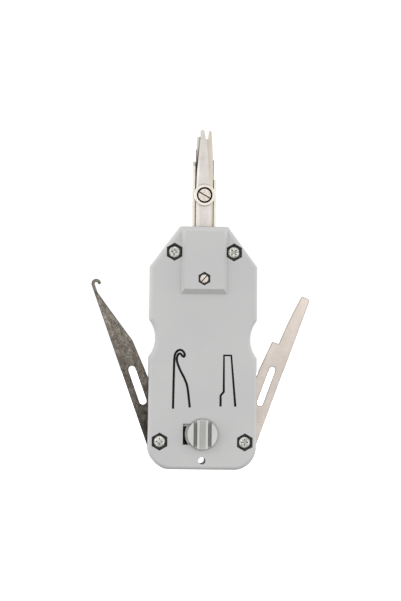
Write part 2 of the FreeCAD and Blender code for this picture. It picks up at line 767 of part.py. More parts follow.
def make_slide_plate():
    # plate under the wall: round flange, two arms, and tabs that stand just off the blades' faces
    body = new_body("slide_plate")
    deep = "dims.plate_front - dims.plate_back"
    pad(body, "slide_plate_flange", circle(0, 0, size("plate_radius")), "dims.plate_back", deep)
    pad(body, "slide_plate_arms", rectangle(-14.0, 4.0, 18.8, 9.0), "dims.plate_back", deep)
    stand = size("blade_thickness") / 2 + 0.35
    for name, left in (("left", -14.0), ("right", 17.6)):
        pad(body, f"slide_plate_{name}_tab", rectangle(left, 4.0, left + 1.2, 9.0), f"{stand}",
            f"dims.plate_front - {stand}")
    pocket(body, "slide_plate_hole", circle(0, 0, 1.55), "dims.plate_front + 1", "3", False)
    body.Placement = at(0, size("knob_height"))
    return finish(body)


def make_knob_screw():
    body = new_body("knob_screw")
    seat = -size("plate_back") + 0.6
    profile = [(0, seat + 1.6), (2.2, seat + 1.5), (2.8, seat + 0.8), (2.8, seat), (1.5, seat),
               (1.5, seat - 4.4), (0, seat - 4.4)]
    revolved(body, "knob_screw_turn", profile)
    pocket(body, "knob_screw_slot", rectangle(-3.5, -0.35, 3.5, 0.35), f"{-seat - 2.6}", "1.9", True)
    body.Placement = at(0, size("knob_height"))
    return finish(body)


make_release_knob()
make_slide_plate()
finish(make_ring("knob_washer", 1.55, 3.6, -size("plate_back"), -size("plate_back") + 0.6,
                 at(0, size("knob_height"))))
make_knob_screw()

# ---------------------------------------------------------------- checks and export
doc.recompute()
failed = [o.Label for o in doc.Objects if "Invalid" in o.State or "Error" in o.State]
if failed:
    raise RuntimeError(f"features failed: {failed}")
for item in nodes:
    if item.Shape.isNull() or not item.Shape.isValid():
        raise RuntimeError(f"{item.Label} has no valid shape")

os.makedirs("parts", exist_ok=True)
for item in nodes:
    item.Shape.exportStep(os.path.join("parts", item.Label + ".step"))
    box = item.Shape.optimalBoundingBox()
    print(f"{item.Label}: {len(item.Shape.Solids)} solids, {item.Shape.Volume:.1f} mm3, "
          f"X {box.XMin:.2f} {box.XMax:.2f}  Y {box.YMin:.2f} {box.YMax:.2f}  Z {box.ZMin:.2f} {box.ZMax:.2f}")
print(f"{len(nodes)} sub-parts written")
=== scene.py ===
import json
import math
import bmesh
import bpy
from mathutils import Matrix, Vector
from mathutils.geometry import delaunay_2d_cdt


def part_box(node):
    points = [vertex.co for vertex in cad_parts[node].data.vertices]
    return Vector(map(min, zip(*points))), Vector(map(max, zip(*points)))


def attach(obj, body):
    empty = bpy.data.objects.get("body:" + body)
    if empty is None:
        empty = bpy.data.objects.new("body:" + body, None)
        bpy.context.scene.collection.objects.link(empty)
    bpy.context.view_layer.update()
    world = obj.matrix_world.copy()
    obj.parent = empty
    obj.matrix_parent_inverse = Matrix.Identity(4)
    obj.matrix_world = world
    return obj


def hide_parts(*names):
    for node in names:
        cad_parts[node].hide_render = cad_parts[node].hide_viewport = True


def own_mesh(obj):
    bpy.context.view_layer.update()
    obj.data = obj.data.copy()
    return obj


# Punch down tool: grey two-shell handle, steel insertion head, folding hook and removal blade.
# Lengths in the dictionaries are millimetres, the scene is in metres.

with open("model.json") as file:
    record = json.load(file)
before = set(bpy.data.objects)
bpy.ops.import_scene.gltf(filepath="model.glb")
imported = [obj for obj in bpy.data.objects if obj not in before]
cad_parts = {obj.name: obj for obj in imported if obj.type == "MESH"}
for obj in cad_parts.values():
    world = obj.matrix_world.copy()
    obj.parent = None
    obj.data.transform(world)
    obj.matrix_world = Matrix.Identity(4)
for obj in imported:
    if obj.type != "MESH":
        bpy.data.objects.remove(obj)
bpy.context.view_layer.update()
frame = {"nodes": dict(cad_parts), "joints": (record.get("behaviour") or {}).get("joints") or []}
cadNodes = frame["nodes"]
joints = {joint["name"]: joint for joint in frame["joints"]}
mm = 0.001
print("frame loaded:", len(cadNodes), "nodes")


def boxMm(node):
    low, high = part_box(node)
    return low / mm, high / mm


def link(piece):
    bpy.context.scene.collection.objects.link(piece)
    return piece


# ---- materials

def linear(hexValue):
    # sRGB hex to a linear colour with alpha
    channels = [int(hexValue[i:i + 2], 16) / 255 for i in (1, 3, 5)]
    return [c / 12.92 if c <= 0.04045 else ((c + 0.055) / 1.055) ** 2.4 for c in channels] + [1.0]


def addNode(tree, kind, settings=None, inputs=None):
    # a node with its settings, and its inputs either linked or set
    node = tree.nodes.new(kind)
    for name, value in (settings or {}).items():
        setattr(node, name, value)
    for name, value in (inputs or {}).items():
        if isinstance(value, bpy.types.NodeSocket):
            tree.links.new(value, node.inputs[name])
        else:
            node.inputs[name].default_value = value
    return node


def startMaterial(name):
    material = bpy.data.materials.new(name)
    material.use_nodes = True
    tree = material.node_tree
    shader = tree.nodes["Principled BSDF"]
    coords = addNode(tree, "ShaderNodeTexCoord").outputs["Object"]
    return material, tree, shader, coords


def grain(tree, coords, size, stretch=(1, 1, 1), turn=0.0, detail=3.0):
    # noise whose grains are about size mm, stretched by the given factors after a turn about Y
    mapping = addNode(tree, "ShaderNodeMapping", {"vector_type": "TEXTURE"}, {
        "Vector": coords, "Rotation": (0, turn, 0), "Scale": [s * size * mm for s in stretch]})
    return addNode(tree, "ShaderNodeTexNoise", None, {
        "Vector": mapping.outputs[0], "Scale": 1.0, "Detail": detail}).outputs["Fac"]


def ramp(tree, factor, stops):
    node = addNode(tree, "ShaderNodeValToRGB", None, {"Fac": factor})
    while len(node.color_ramp.elements) < len(stops):
        node.color_ramp.elements.new(0.5)
    for element, (spot, colour) in zip(node.color_ramp.elements, stops):
        element.position = spot
        element.color = linear(colour) if isinstance(colour, str) else (colour, colour, colour, 1)
    return node.outputs["Color"]


def shadeCorners(tree, colour, reach, depth, openFrom=0.85):
    # narrow gaps and deep corners are painted darker than the open faces, down to depth of the colour:
    # the soft light from all sides leaves them too pale. reach is in mm.
    corners = addNode(tree, "ShaderNodeAmbientOcclusion", {"samples": 8}, {"Distance": reach * mm})
    shade = ramp(tree, corners.outputs["AO"], [(0.28, depth), (openFrom, 1.0)])
    return addNode(tree, "ShaderNodeMix", {"data_type": "RGBA", "blend_type": "MULTIPLY"}, {
        0: 1.0, 6: colour, 7: shade}).outputs[2]


def bump(tree, shader, height, depth, strength=1.0):
    node = addNode(tree, "ShaderNodeBump", None, {
        "Height": height, "Distance": depth * mm, "Strength": strength})
    tree.links.new(node.outputs["Normal"], shader.inputs["Normal"])


def mouldedPlastic(name, light, dark, roughness=(0.42, 0.54), sparkGrain=0.5, corner=(1.8, 0.02, 0.8)):
    # injection-moulded ABS or acetal: even colour with a faint cloud, spark-eroded satin grain.
    # The real grain is about 0.15 mm; it is drawn coarser so that it still shows.
    material, tree, shader, coords = startMaterial(name)
    cloud = grain(tree, coords, 26)
    colour = ramp(tree, cloud, [(0.3, dark), (0.7, light)])
    tree.links.new(shadeCorners(tree, colour, *corner), shader.inputs["Base Color"])
    fine = grain(tree, coords, sparkGrain)
    tree.links.new(ramp(tree, fine, [(0.3, roughness[0]), (0.7, roughness[1])]), shader.inputs["Roughness"])
    bump(tree, shader, fine, 0.02, 0.35)
    shader.inputs["IOR"].default_value = 1.5
    return material


def workedSteel(name, stops, roughness, grit=0.12, length=14, turn=0.0, depth=0.012, blotch=6, share=0.45,
               corner=(1.0, 0.02), shadeFade=None):
    # rolled, ground or plated steel: fine lines along the piece, cloudy tone, uneven polish.
    # stops are the tones from the darkest clouds to the brightest ones.
    material, tree, shader, coords = startMaterial(name)
    lines = grain(tree, coords, grit, (1, 1, length), turn, 4.0)
    cloud = grain(tree, coords, blotch, (1, 1, 1.6), turn)
    mixed = addNode(tree, "ShaderNodeMix", {"data_type": "FLOAT"}, {
        "Factor": share, "A": cloud, "B": lines}).outputs["Result"]
    colour = shadeCorners(tree, ramp(tree, mixed, stops), *corner)
    # painted shade: the piece is drawn darker towards its foot
    if shadeFade:  # the tone rises from a share at one height in mm to full at another
        low, high, share = shadeFade
        height = addNode(tree, "ShaderNodeSeparateXYZ", None, {"Vector": coords}).outputs["Z"]
        tone = addNode(tree, "ShaderNodeMapRange", None, {
            "Value": height, "From Min": low * mm, "From Max": high * mm, "To Min": share, "To Max": 1.0})
        colour = addNode(tree, "ShaderNodeMix", {"data_type": "RGBA", "blend_type": "MULTIPLY"}, {
            0: 1.0, 6: colour, 7: tone.outputs[0]}).outputs[2]
    tree.links.new(colour, shader.inputs["Base Color"])
    tree.links.new(ramp(tree, lines, [(0.3, roughness[0]), (0.72, roughness[1])]), shader.inputs["Roughness"])
    bump(tree, shader, lines, depth, 0.5)
    shader.inputs["Metallic"].default_value = 1.0
    return material


def printedInk():
    # pad-printed ink: dull, almost black, a little uneven where it is thin
    material, tree, shader, coords = startMaterial("padPrintedInk")
    speck = grain(tree, coords, 0.35)
    tree.links.new(ramp(tree, speck, [(0.25, "#060507"), (0.75, "#100e12")]), shader.inputs["Base Color"])
    tree.links.new(ramp(tree, speck, [(0.3, 0.5), (0.7, 0.68)]), shader.inputs["Roughness"])
    shader.inputs["Specular IOR Level"].default_value = 0.2
    return material


bladeTurn = math.radians(19.7)
# plastics: even satin greys, and nearly black for the parts inside
shellPlastic = mouldedPlastic("mouldedAbsLightGrey", "#cbcbca", "#c6c6c6")
knobPlastic = mouldedPlastic("mouldedAcetalKnob", "#d6d6d3", "#cfcfcc", (0.34, 0.46), 0.5, (2.2, 0.1, 0.9))
platePlastic = mouldedPlastic("mouldedAcetalPlate", "#d9d9d6", "#d1d1ce", corner=(0.8, 0.3, 0.7))
blackPlastic = mouldedPlastic("mouldedAcetalBlack", "#1c1c1e", "#141416")
# fasteners: zinc with small pale and dark mottles, cooler or warmer, and an almost black steel in recesses:
# painted shade
zincPlate = workedSteel("zincPlatedSteel", [(0.36, "#8f9089"), (0.5, "#d6d6cf"), (0.62, "#f6f6f0")],
                        (0.14, 0.3), 0.5, 1.5, 0, 0.05, 0.9, 0.5, (0.3, 0.02))
warmZinc = workedSteel("yellowedZincSteel", [(0.34, "#b5a89a"), (0.5, "#e6dbd0"), (0.64, "#fbf4ec")],
                       (0.14, 0.3), 0.5, 1.5, 0, 0.05, 0.8, 0.5, (0.3, 0.02))
shadeBlackSteel = workedSteel("blackOxideSteel", [(0.3, "#121110"), (0.55, "#1f1c1a"), (0.75, "#3a342c")],
                         (0.3, 0.5), 0.3, 1, 0, 0.02, 1.5)
# head: warm nickel with faint lines along it. The rim and the channel are brighter than the fork: a painted
# highlight.
# Its right flank is darker: a painted reflection. The insertion blade darkens towards its foot: painted
# shade.
rimSteel = workedSteel("polishedNickelRim", [(0.3, "#e6ddd4"), (0.7, "#fbf4ec")],
                       (0.18, 0.3), 0.14, 6, 0, 0.01, 4, 0.45, (0.4, 0.02))
nickelSteel = workedSteel("nickelPlatedSteel", [(0.3, "#cdc6c0"), (0.5, "#dcd6d0"), (0.7, "#e8e3de")],
                          (0.26, 0.42), 0.14, 18)
facetSteel = workedSteel("groundNickelFacet", [(0.3, "#b9b0a2"), (0.5, "#c8c0b2"), (0.7, "#d3ccbf")],
                         (0.28, 0.44), 0.14, 18)
channelSteel = workedSteel("foldedNickelChannel", [(0.3, "#e6dccd"), (0.5, "#f2ebdf"), (0.7, "#fbf6ee")],
                           (0.24, 0.4), 0.14, 18, 0, 0.012, 6, 0.45, (0.5, 0.15))
insertionSteel = workedSteel("groundInsertionSteel", [(0.3, "#cdc6bf"), (0.7, "#e4ded8")],
                             (0.26, 0.42), 0.14, 18, 0, 0.012, 6, 0.45, (1.6, 0.02), (160, 168, 0.12))
bladeSteel = workedSteel("hardenedCutterSteel", [(0.3, "#4a4744"), (0.5, "#66625e"), (0.7, "#85807a")],
                         (0.28, 0.46), 0.14, 16)
# folding blades: a brown speckled hook and a pale stainless blade, both with darker cut edges: painted shade.
# The hook is painted darker towards its foot, the removal blade only slightly: painted shade.
hookSteel = workedSteel("brownedHookSteel", [(0.34, "#544d46"), (0.5, "#827b72"), (0.66, "#b3aba1")],
                        (0.3, 0.5), 0.45, 2, -bladeTurn, 0.03, 1.6, 0.6, (1.0, 0.02), (20, 75, 0.3))
hookEdge = workedSteel("groundHookEdge", [(0.3, "#3a3430"), (0.7, "#5c544d")],
                       (0.3, 0.45), 0.3, 6, -bladeTurn)
removalSteel = workedSteel("rolledStainlessSteel", [(0.3, "#dccfc5"), (0.5, "#e8dcd2"), (0.72, "#f6efe7")],
                           (0.28, 0.42), 0.3, 4, bladeTurn, 0.015, 5, 0.5, (1.0, 0.02), (55, 88, 0.84))
removalEdge = workedSteel("stampedStainlessEdge", [(0.3, "#8d8078"), (0.7, "#b3a79e")],
                          (0.3, 0.45), 0.3, 6, bladeTurn)
springWire = workedSteel("drawnSpringWire", [(0.3, "#8d8d8c"), (0.7, "#b8b8b6")], (0.2, 0.35), 0.2, 2)
ink = printedInk()
print("materials made")


# ---- mesh helpers

def finishShading(mesh, angle=32):
    for face in mesh.polygons:
        face.use_smooth = True
    mesh.set_sharp_from_angle(angle=math.radians(angle))


def asPlainMesh(piece):
    # modifiers applied into one plain mesh, and removed; a curve becomes a mesh piece of the same name
    bpy.context.view_layer.update()
    evaluated = piece.evaluated_get(bpy.context.evaluated_depsgraph_get())
    mesh = bpy.data.meshes.new_from_object(evaluated)
    piece.modifiers.clear()
    if piece.type == "MESH":
        piece.data = mesh
        return piece
    name = piece.name
    bpy.data.objects.remove(piece)
    return link(bpy.data.objects.new(name, mesh))


def meshPiece(name, bm, material, angle=32):
    bmesh.ops.remove_doubles(bm, verts=bm.verts, dist=1e-7)
    bmesh.ops.recalc_face_normals(bm, faces=bm.faces)
    mesh = bpy.data.meshes.new(name)
    bm.to_mesh(mesh)
    bm.free()
    mesh.materials.append(material)
    finishShading(mesh, angle)
    return link(bpy.data.objects.new(name, mesh))


def bevelled(piece, width, segments=2, angle=34, material=-1):
    modifier = piece.modifiers.new("edge", "BEVEL")
    modifier.width = width * mm
    modifier.segments = segments
    modifier.material = material
    modifier.limit_method = "ANGLE"
    modifier.angle_limit = math.radians(angle)
    modifier.use_clamp_overlap = False
    modifier.miter_outer = "MITER_ARC"
    asPlainMesh(piece)
    finishShading(piece.data)
    return piece


def place(piece, body, slot, *replaced):
    if replaced:
        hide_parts(*replaced)
    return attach(piece, body)


def followFlats(piece, limit=32):
    # shading normals that stay true on the large flat faces and bend only across the rounded edges
    mesh = piece.data
    bm = bmesh.new()
    bm.from_mesh(mesh)
    bm.faces.ensure_lookup_table()
    region = [-1] * len(bm.faces)
    areas = []
    for start in bm.faces:
        if region[start.index] >= 0:
            continue
        region[start.index], waiting, total = len(areas), [start], 0.0
        while waiting:
            face = waiting.pop()
            total += face.calc_area()
            for edge in face.edges:
                for other in edge.link_faces:
                    if region[other.index] < 0 and other.normal.dot(start.normal) > 0.999995:
                        region[other.index] = len(areas)
                        waiting.append(other)
        areas.append(total)
    near = math.cos(math.radians(limit))
    normals = []
    for face in bm.faces:
        for loop in face.loops:
            blend = Vector()
            for other in loop.vert.link_faces:
                if other.normal.dot(face.normal) > near:
                    blend += other.normal * areas[region[other.index]]
            normals.append(blend.normalized() if blend.length > 0 else face.normal.copy())
    bm.free()
    mesh.normals_split_custom_set(normals)


def paintFaces(piece, material, wanted):
    # the faces whose middle and normal pass the test get a second material
    piece.data.materials.append(material)
    index = len(piece.data.materials) - 1
    for face in piece.data.polygons:
        if wanted(face.center / mm, face.normal):
            face.material_index = index


def softCopy(node, name, edge, material, body, slot, segments=2, edgeMaterial=None):
    # a CAD piece with smooth curves, and its edges broken by a small radius where edge is not zero
    bm = bmesh.new()
    bm.from_mesh(cadNodes[node].data)
    bmesh.ops.remove_doubles(bm, verts=bm.verts, dist=4e-6)
    if edge:
        bmesh.ops.dissolve_limit(bm, angle_limit=math.radians(0.6), verts=bm.verts, edges=bm.edges,
                                 use_dissolve_boundaries=False)
    piece = meshPiece(name, bm, material)
    if edge:
        if edgeMaterial:
            piece.data.materials.append(edgeMaterial)
        bevelled(piece, edge, segments, 34, 1 if edgeMaterial else -1)
    followFlats(piece)
    return place(piece, body, slot, node)


def loft(bm, loops, close=True):
    # rings of the same number of points joined by quads, with both ends filled
    rings = [[bm.verts.new(Vector(p) * mm) for p in loop] for loop in loops]
    count = len(rings[0])
    for low, high in zip(rings, rings[1:]):
        for i in range(count):
            j = (i + 1) % count
            bm.faces.new((low[i], low[j], high[j], high[i]))
    if close:
        bm.faces.new(rings[0])
        bm.faces.new(list(reversed(rings[-1])))
    return rings


def circlePoints(centreX, centreZ, radius, y, count):
    turns = [2 * math.pi * k / count for k in range(count)]
    return [(centreX + radius * math.cos(a), y, centreZ + radius * math.sin(a)) for a in turns]


def plateMesh(name, outline, creases, frontY, backY, material):
    # a flat plate in the XZ plane: outline in mm, creases are lines where its front face bends,
    # frontY gives the front face's y at each x, z
    points, edges = [], []

    def addLoop(loop, closed=True):
        start = len(points)
        points.extend(Vector(p) for p in loop)
        count = len(loop)
        edges.extend((start + i, start + (i + 1) % count) for i in range(count if closed else count - 1))

    addLoop(outline)
    for line in creases:
        addLoop(line, closed=False)
    flat, _, faces, _, _, _ = delaunay_2d_cdt(points, edges, [], 2, 1e-5)
    bm = bmesh.new()
    front = [bm.verts.new(Vector((p.x, frontY(p.x, p.y), p.y)) * mm) for p in flat]
    back = [bm.verts.new(Vector((p.x, backY, p.y)) * mm) for p in flat]
    border = {}
    for face in faces:
        bm.faces.new([front[i] for i in face])
        bm.faces.new([back[i] for i in reversed(face)])
        for i, j in zip(face, face[1:] + face[:1]):
            key = (min(i, j), max(i, j))
            border[key] = border.get(key, 0) + 1
    for (i, j), used in border.items():
        if used == 1:
            bm.faces.new((front[i], front[j], back[j], back[i]))
    loose = [v for v in bm.verts if not v.link_faces]
    bmesh.ops.delete(bm, geom=loose, context="VERTS")
    bmesh.ops.join_triangles(bm, faces=bm.faces, angle_face_threshold=0.01, angle_shape_threshold=1.5)
    return meshPiece(name, bm, material, 20)


def cutWith(piece, cutter):
    modifier = piece.modifiers.new("cut", "BOOLEAN")
    modifier.operation = "DIFFERENCE"
    modifier.solver = "EXACT"
    modifier.object = cutter
    asPlainMesh(piece)
    bpy.data.objects.remove(cutter)
    return piece


# ---- geometry node helpers

def startTree(name, inputs):
    # a tree with a geometry in and out and named float inputs
    tree = bpy.data.node_groups.new(name, "GeometryNodeTree")
    tree.interface.new_socket("Geometry", in_out="INPUT", socket_type="NodeSocketGeometry")
    sockets = {}
    for label, (kind, default) in inputs.items():
        socket = tree.interface.new_socket(label, in_out="INPUT", socket_type=kind)
        if default is not None:
            socket.default_value = default
        sockets[label] = socket.identifier
    tree.interface.new_socket("Geometry", in_out="OUTPUT", socket_type="NodeSocketGeometry")
    return tree, addNode(tree, "NodeGroupInput"), sockets


def finishTree(tree, geometry, material):
    realized = addNode(tree, "GeometryNodeRealizeInstances", None, {"Geometry": geometry})
    painted = addNode(tree, "GeometryNodeSetMaterial", None, {
        "Geometry": realized.outputs[0], "Material": material})
    addNode(tree, "NodeGroupOutput", None, {"Geometry": painted.outputs[0]})


def runTree(piece, tree, sockets, values, angle=32):
    modifier = piece.modifiers.new(tree.name, "NODES")
    modifier.node_group = tree
    for label, value in values.items():
        modifier[sockets[label]] = value
    piece = asPlainMesh(piece)
    finishShading(piece.data, angle)
    return piece


# ---- handle shells, with shading that stays true on their flats

for side in ("front", "rear"):
    softCopy(f"{side}_shell", f"{side}Shell", 0, shellPlastic, "handle", "shell_plastic")
print("shells made")


# ---- printed pictograms: an outline of the hook and one of the removal blade

prints = {
    "stroke": 1.2,  # width of a printed line
    "lift": 0.03,  # thickness of the ink
    "faceY": -11.5,  # front face of the shell
    "hook": [(-15.4, 31.6), (-15.2, 57.2), (-14.6, 60.4), (-13.2, 62.0), (-11.6, 62.3), (-10.2, 61.3),
             (-9.5, 59.6), (-10.0, 58.5), (-11.0, 59.2), (-11.8, 60.4), (-13.0, 60.1), (-13.8, 58.2),
             (-13.6, 55.8), (-12.0, 51.8), (-9.9, 48.0), (-8.4, 44.6), (-7.6, 40.5), (-6.7, 32.3)],
    "blade": [(9.3, 33.0), (9.3, 38.7), (10.9, 40.7), (10.8, 59.6), (14.6, 59.6), (17.0, 33.0)],
}


def inkTree():
    tree, group, sockets = startTree("inkStroke", {
        "Width": ("NodeSocketFloat", 0.001), "Thickness": ("NodeSocketFloat", 0.0001)})
    profile = addNode(tree, "GeometryNodeCurvePrimitiveQuadrilateral", None, {
        "Width": group.outputs["Width"], "Height": group.outputs["Thickness"]})
    swept = addNode(tree, "GeometryNodeCurveToMesh", None, {
        "Curve": group.outputs["Geometry"], "Profile Curve": profile.outputs[0], "Fill Caps": True})
    finishTree(tree, swept.outputs[0], ink)
    return tree, sockets


def printStroke(name, points, smooth, tree, sockets, y):
    # the stroke is drawn flat in XY, then stood up into the front face's plane
    curve = bpy.data.curves.new(name, "CURVE")
    curve.dimensions = "2D"
    curve.fill_mode = "NONE"
    spline = curve.splines.new("NURBS" if smooth else "POLY")
    spline.points.add(len(points) - 1)
    for target, (x, z) in zip(spline.points, points):
        target.co = (x * mm, z * mm, 0, 1)
    if smooth:
        spline.order_u = 3
        spline.use_endpoint_u = True
        curve.resolution_u = 8
    piece = link(bpy.data.objects.new(name, curve))
    piece = runTree(piece, tree, sockets, {
        "Width": prints["stroke"] * mm, "Thickness": prints["lift"] * mm})
    standUp = Matrix.Translation((0, y * mm, 0)) @ Matrix.Rotation(math.radians(90), 4, "X")
    piece.data.transform(standUp)
    return place(piece, "handle", None)


inkY = prints["faceY"] - prints["lift"] / 2
strokeTree, strokeSockets = inkTree()
printStroke("hookSign", prints["hook"], True, strokeTree, strokeSockets, inkY)
printStroke("bladeSign", prints["blade"], False, strokeTree, strokeSockets, inkY)
print("prints made")


# ---- release knob: flat flanks, two deep grooves and a shallow middle channel between two ribs

knob = {
    "columns": 96,
    "rows": 24,
    "front": -15.3,
    "back": -11.65,
    "stem": [(-5.55, -5.3), (5.95, -5.3), (5.95, 5.3), (-5.55, 5.3)],
    "stemEnd": -9.3,
    "grooves": [(-3.75, 0.9, 1.75), (3.75, 0.9, 1.75)],  # middle, half width, depth
    "channel": (0.0, 1.75, 2.0),
    "trim": 0.15,  # how much smaller the drawn cap is in radius
}


def knobHeight(x):
    # how far the surface lies behind the knob's front at a distance x from its middle
    sunk = 0.0
    for middle, half, depth in knob["grooves"]:
        away = abs(x - middle) / half
        if away < 1:
            sunk = max(sunk, depth * (1 - away ** 6))
    middle, half, depth = knob["channel"]
    away = abs(x - middle) / half
    if away < 1:
        sunk = max(sunk, depth * (1 - away ** 4))
    return sunk


def makeKnob():
    low, high = boxMm("release_knob")
    middleX, middleZ = (low.x + high.x) / 2, (low.z + high.z) / 2
    radius = (high.z - low.z) / 2 - knob["trim"]
    bm = bmesh.new()
    columns = []
    for c in range(knob["columns"] + 1):
        x = -radius * math.cos(math.pi * c / knob["columns"])
        reach = math.sqrt(max(radius ** 2 - x ** 2, 0.0))
        y = knob["front"] + knobHeight(x)
        rows = [reach * (2 * r / knob["rows"] - 1) for r in range(knob["rows"] + 1)]
        front = [bm.verts.new(Vector((middleX + x, y, middleZ + z)) * mm) for z in rows]
        rear = [bm.verts.new(Vector((middleX + x, knob["back"], middleZ + z)) * mm) for z in rows]
        columns.append((front, rear))
    for (frontA, rearA), (frontB, rearB) in zip(columns, columns[1:]):
        for r in range(knob["rows"]):
            bm.faces.new((frontA[r], frontB[r], frontB[r + 1], frontA[r + 1]))
            bm.faces.new((rearA[r], rearA[r + 1], rearB[r + 1], rearB[r]))
        bm.faces.new((frontA[0], rearA[0], rearB[0], frontB[0]))
        bm.faces.new((frontA[-1], frontB[-1], rearB[-1], rearA[-1]))
    piece = meshPiece("releaseKnobCap", bm, knobPlastic)
    stem = bmesh.new()
    loft(stem, [[(middleX + x, y, middleZ + z) for x, z in knob["stem"]]
                for y in (knob["back"] + 0.02, knob["stemEnd"])])
    stemPiece = meshPiece("releaseKnobStem", stem, knobPlastic)
    place(stemPiece, "knob", "knob_plastic")
    return place(piece, "knob", "knob_plastic", "release_knob")


makeKnob()
softCopy("slide_plate", "slidePlate", 0.15, platePlastic, "knob", "plate_plastic")
print("knob made")


# ---- four shell screws: one turned head with a cross recess, each with its own turn

screw = {
    "headRadius": 3.3,
    "headHeight": 2.3,
    "shank": 1.75,
    "recess": 2.15,  # reach of the cross
    "recessHalf": 0.38,
    "recessDepth": 1.5,
    "mark": 2.7,  # reach of the thin marks between its arms
    "markHalf": 0.1,
    "markDepth": 0.22,
    "upper": (15.5, 113.2),  # place of the upper pair
    "seed": 5,
}


def screwTemplate():
    # head and shank about the Y axis, seat at y = 0, head towards -Y
    r, h, shank = screw["headRadius"], screw["headHeight"], screw["shank"]
    profile = [(0.05, -h), (r * 0.5, -h + 0.02), (r * 0.8, -h + 0.08), (r * 0.93, -h + 0.28),
               (r * 0.99, -h + 0.7), (r, -h + 1.2), (r, -0.12), (r - 0.12, 0.0), (shank, 0.0),
               (shank, 15.7), (shank - 0.45, 16.3), (0.05, 16.3)]
    bm = bmesh.new()
    loft(bm, [circlePoints(0, 0, radius, y, 40) for radius, y in profile])
    head = meshPiece("screwTemplate", bm, zincPlate, 40)
    # a deep cross that narrows downwards, and thin marks between its arms
    cross = (screw["recess"], screw["recessHalf"], screw["recessDepth"], 0.45)
    mark = (screw["mark"], screw["markHalf"], screw["markDepth"], 0.97)
    for turn, (reach, half, deep, narrowing) in ((0, cross), (90, cross), (45, mark), (135, mark)):
        arm = bmesh.new()
        wide = [(-reach, -half), (reach, -half), (reach, half), (-reach, half)]
        narrow = [(x * narrowing, z * 0.6) for x, z in wide]
        loft(arm, [[(x, -h - 0.5, z) for x, z in wide], [(x, -h + deep, z) for x, z in narrow]])
        cutter = meshPiece("recessArm", arm, zincPlate)
        cutter.data.transform(Matrix.Rotation(math.radians(turn), 4, "Y"))
        cutWith(head, cutter)
    return head


def screwTree():
    tree, group, sockets = startTree("screwSet", {
        "Screw": ("NodeSocketObject", None), "Seed": ("NodeSocketInt", 0),
        "Turn": ("NodeSocketFloat", 3.14)})
    part = addNode(tree, "GeometryNodeObjectInfo", None, {"Object": group.outputs["Screw"]})
    turn = addNode(tree, "FunctionNodeRandomValue", {"data_type": "FLOAT"}, {
        "Seed": group.outputs["Seed"]})
    tree.links.new(group.outputs["Turn"], turn.inputs["Max"])
    about = addNode(tree, "ShaderNodeCombineXYZ", None, {"Y": turn.outputs["Value"]})
    spread = addNode(tree, "GeometryNodeInstanceOnPoints", None, {
        "Points": group.outputs["Geometry"], "Instance": part.outputs["Geometry"],
        "Rotation": about.outputs[0]})
    finishTree(tree, spread.outputs[0], zincPlate)
    return tree, sockets


def makeScrews():
    low, _ = boxMm("shell_screws")
    pivot = Vector(joints["removal_fold"]["pos_m"]) / mm
    seat = low.y + screw["headHeight"] - 0.06
    places = [(sign * x, seat, z) for x, z in ((pivot.x, pivot.z), screw["upper"]) for sign in (-1, 1)]
    base = bpy.data.meshes.new("shellScrews")
    base.from_pydata([Vector(p) * mm for p in places], [], [])
    piece = link(bpy.data.objects.new("shellScrews", base))
    template = screwTemplate()
    tree, sockets = screwTree()
    runTree(piece, tree, sockets, {"Screw": template, "Seed": screw["seed"], "Turn": math.pi}, 40)
    bpy.data.objects.remove(template)
    return place(piece, "handle", "zinc_steel", "shell_screws")


def arcPoints(centreX, centreZ, radius, start, end, count):
    turns = [math.radians(start + (end - start) * k / count) for k in range(count + 1)]
    return [(centreX + radius * math.cos(a), centreZ + radius * math.sin(a)) for a in turns]


def makeSlottedScrew(node, name, body, height, material, size):
    # cheese head split by a straight slot with a dark bottom, on a plain shank; the dark is painted shade
    r, half, top, bottom = size["radius"], size["halfSlot"], size["top"], size["top"] + size["slotDepth"]
    flat = math.degrees(math.asin(half / r))
    rim = arcPoints(0, 0, r, flat, 180 - flat, 36)
    edge = arcPoints(0, 0, r - size["edge"], flat, 180 - flat, 36)
    crown = bmesh.new()
    for sign in (-1, 1):
        loft(crown, [[(x, y, sign * z) for x, z in loop] for loop, y in
                     ((rim, bottom), (rim, top + size["edge"]), (edge, top))])
    shank, tip = size["shank"], size["tip"]
    rows = [(0.02, bottom), (r, bottom), (r, size["seat"]), (shank, size["seat"]), (shank, tip - 0.4),
            (shank - 0.35, tip), (0.02, tip)]
    base = bmesh.new()
    loft(base, [circlePoints(0, 0, radius, y, 64) for radius, y in rows])
    turn = Matrix.Translation((0, 0, height * mm)) @ Matrix.Rotation(math.radians(size["turn"]), 4, "Y")
    # slot bottom, lower side of the head and shank in the almost black steel: painted shade
    for mesh, part, paint in ((crown, "Crown", material), (base, "Shank", shadeBlackSteel)):
        piece = meshPiece(name + part, mesh, paint, 30)
        piece.data.transform(turn)
        place(piece, body, "zinc_steel", *([node] if part == "Crown" else []))


makeScrews()
camScrew = {"radius": 2.25, "halfSlot": 0.3, "slotDepth": 0.7, "edge": 0.2, "shank": 1.23, "turn": -50,
            "top": -13.3, "seat": -11.6, "tip": 13.9}
camLow, camHigh = boxMm("cam_screw")
makeSlottedScrew("cam_screw", "camScrew", "handle", (camLow.z + camHigh.z) / 2, warmZinc, camScrew)
print("screws made")


# ---- insertion head

